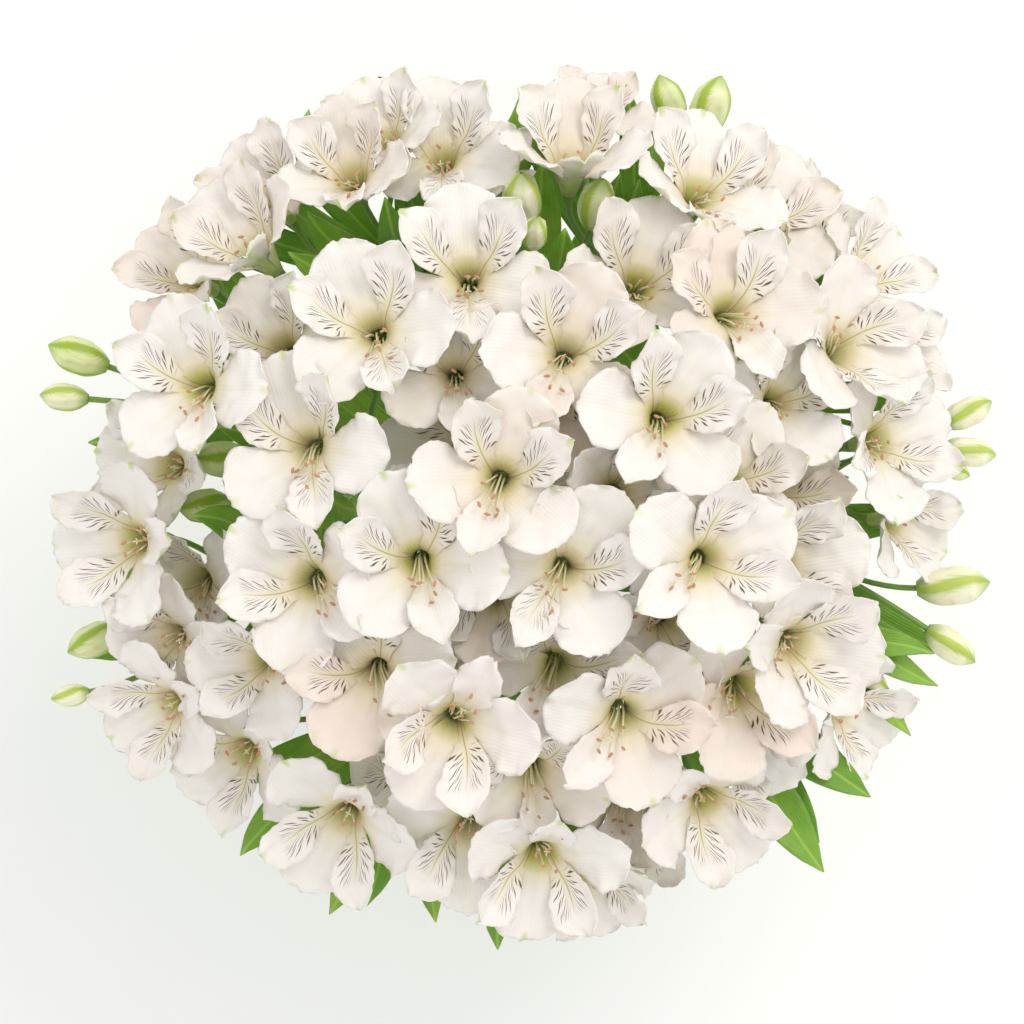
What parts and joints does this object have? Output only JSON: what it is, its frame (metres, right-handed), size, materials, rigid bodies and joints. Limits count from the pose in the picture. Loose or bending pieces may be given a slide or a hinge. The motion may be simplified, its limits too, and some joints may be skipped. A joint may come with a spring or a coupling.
{
  "type": "alstroemeria bouquet",
  "caption": "Round, domed, spiral hand-tied bouquet of white alstroemeria with green buds and leaves, standing on its splayed cut stems.",
  "frame": {"origin": "middle of the central stem's cut end, on the surface that the bouquet stands on, below the middle of the dome", "axes": "+Z up along the central stem; seen from above, +X is right and +Y is up, as in the picture"},
  "size_m": [0.3929, 0.3628, 0.4024],
  "materials": {
    "petals": "soft matte petal, thin and slightly translucent",
    "greens": "waxy satin leaf, stem and bud",
    "raffia": "dry matte palm fibre"
  },
  "bodies": {
    "root": {"bloom_01": "petals", "bloom_04": "petals", "bloom_07": "petals", "bloom_10": "petals", "bloom_13": "petals", "bloom_14": "petals", "bloom_15": "petals", "bloom_18": "petals", "bloom_21": "petals", "bloom_24": "petals", "bloom_29": "petals", "bloom_34": "petals", "bloom_39": "petals", "bloom_40": "petals", "bloom_45": "petals", "bloom_50": "petals", "bloom_51": "petals", "bloom_52": "petals", "bloom_53": "petals", "bloom_54": "petals", "bloom_57": "petals", "blooms_02_03": "petals", "blooms_05_06": "petals", "blooms_08_09": "petals", "blooms_11_12": "petals", "blooms_16_17": "petals", "blooms_19_20": "petals", "blooms_22_23": "petals", "blooms_25_26": "petals", "blooms_27_28": "petals", "blooms_30_31": "petals", "blooms_32_33": "petals", "blooms_35_36": "petals", "blooms_37_38": "petals", "blooms_41_42": "petals", "blooms_43_44": "petals", "blooms_46_47": "petals", "blooms_48_49": "petals", "blooms_55_56": "petals", "blooms_58_59": "petals", "blooms_60_61": "petals", "blooms_62_63": "petals", "blooms_64_65": "petals", "blooms_66_67": "petals", "leafy_stem_back": "greens", "leafy_stem_centre": "greens", "leafy_stem_front": "greens", "leafy_stem_left": "greens", "leafy_stem_right": "greens", "leafy_stem_rim_back": "greens", "leafy_stem_rim_back_left": "greens", "leafy_stem_rim_back_right": "greens", "leafy_stem_rim_front": "greens", "leafy_stem_rim_front_left": "greens", "leafy_stem_rim_front_right": "greens", "leafy_stem_rim_left": "greens", "leafy_stem_rim_right": "greens", "leafy_stem_rim_right_front": "greens", "raffia_tie": "raffia"}
  },
  "joints": []
}
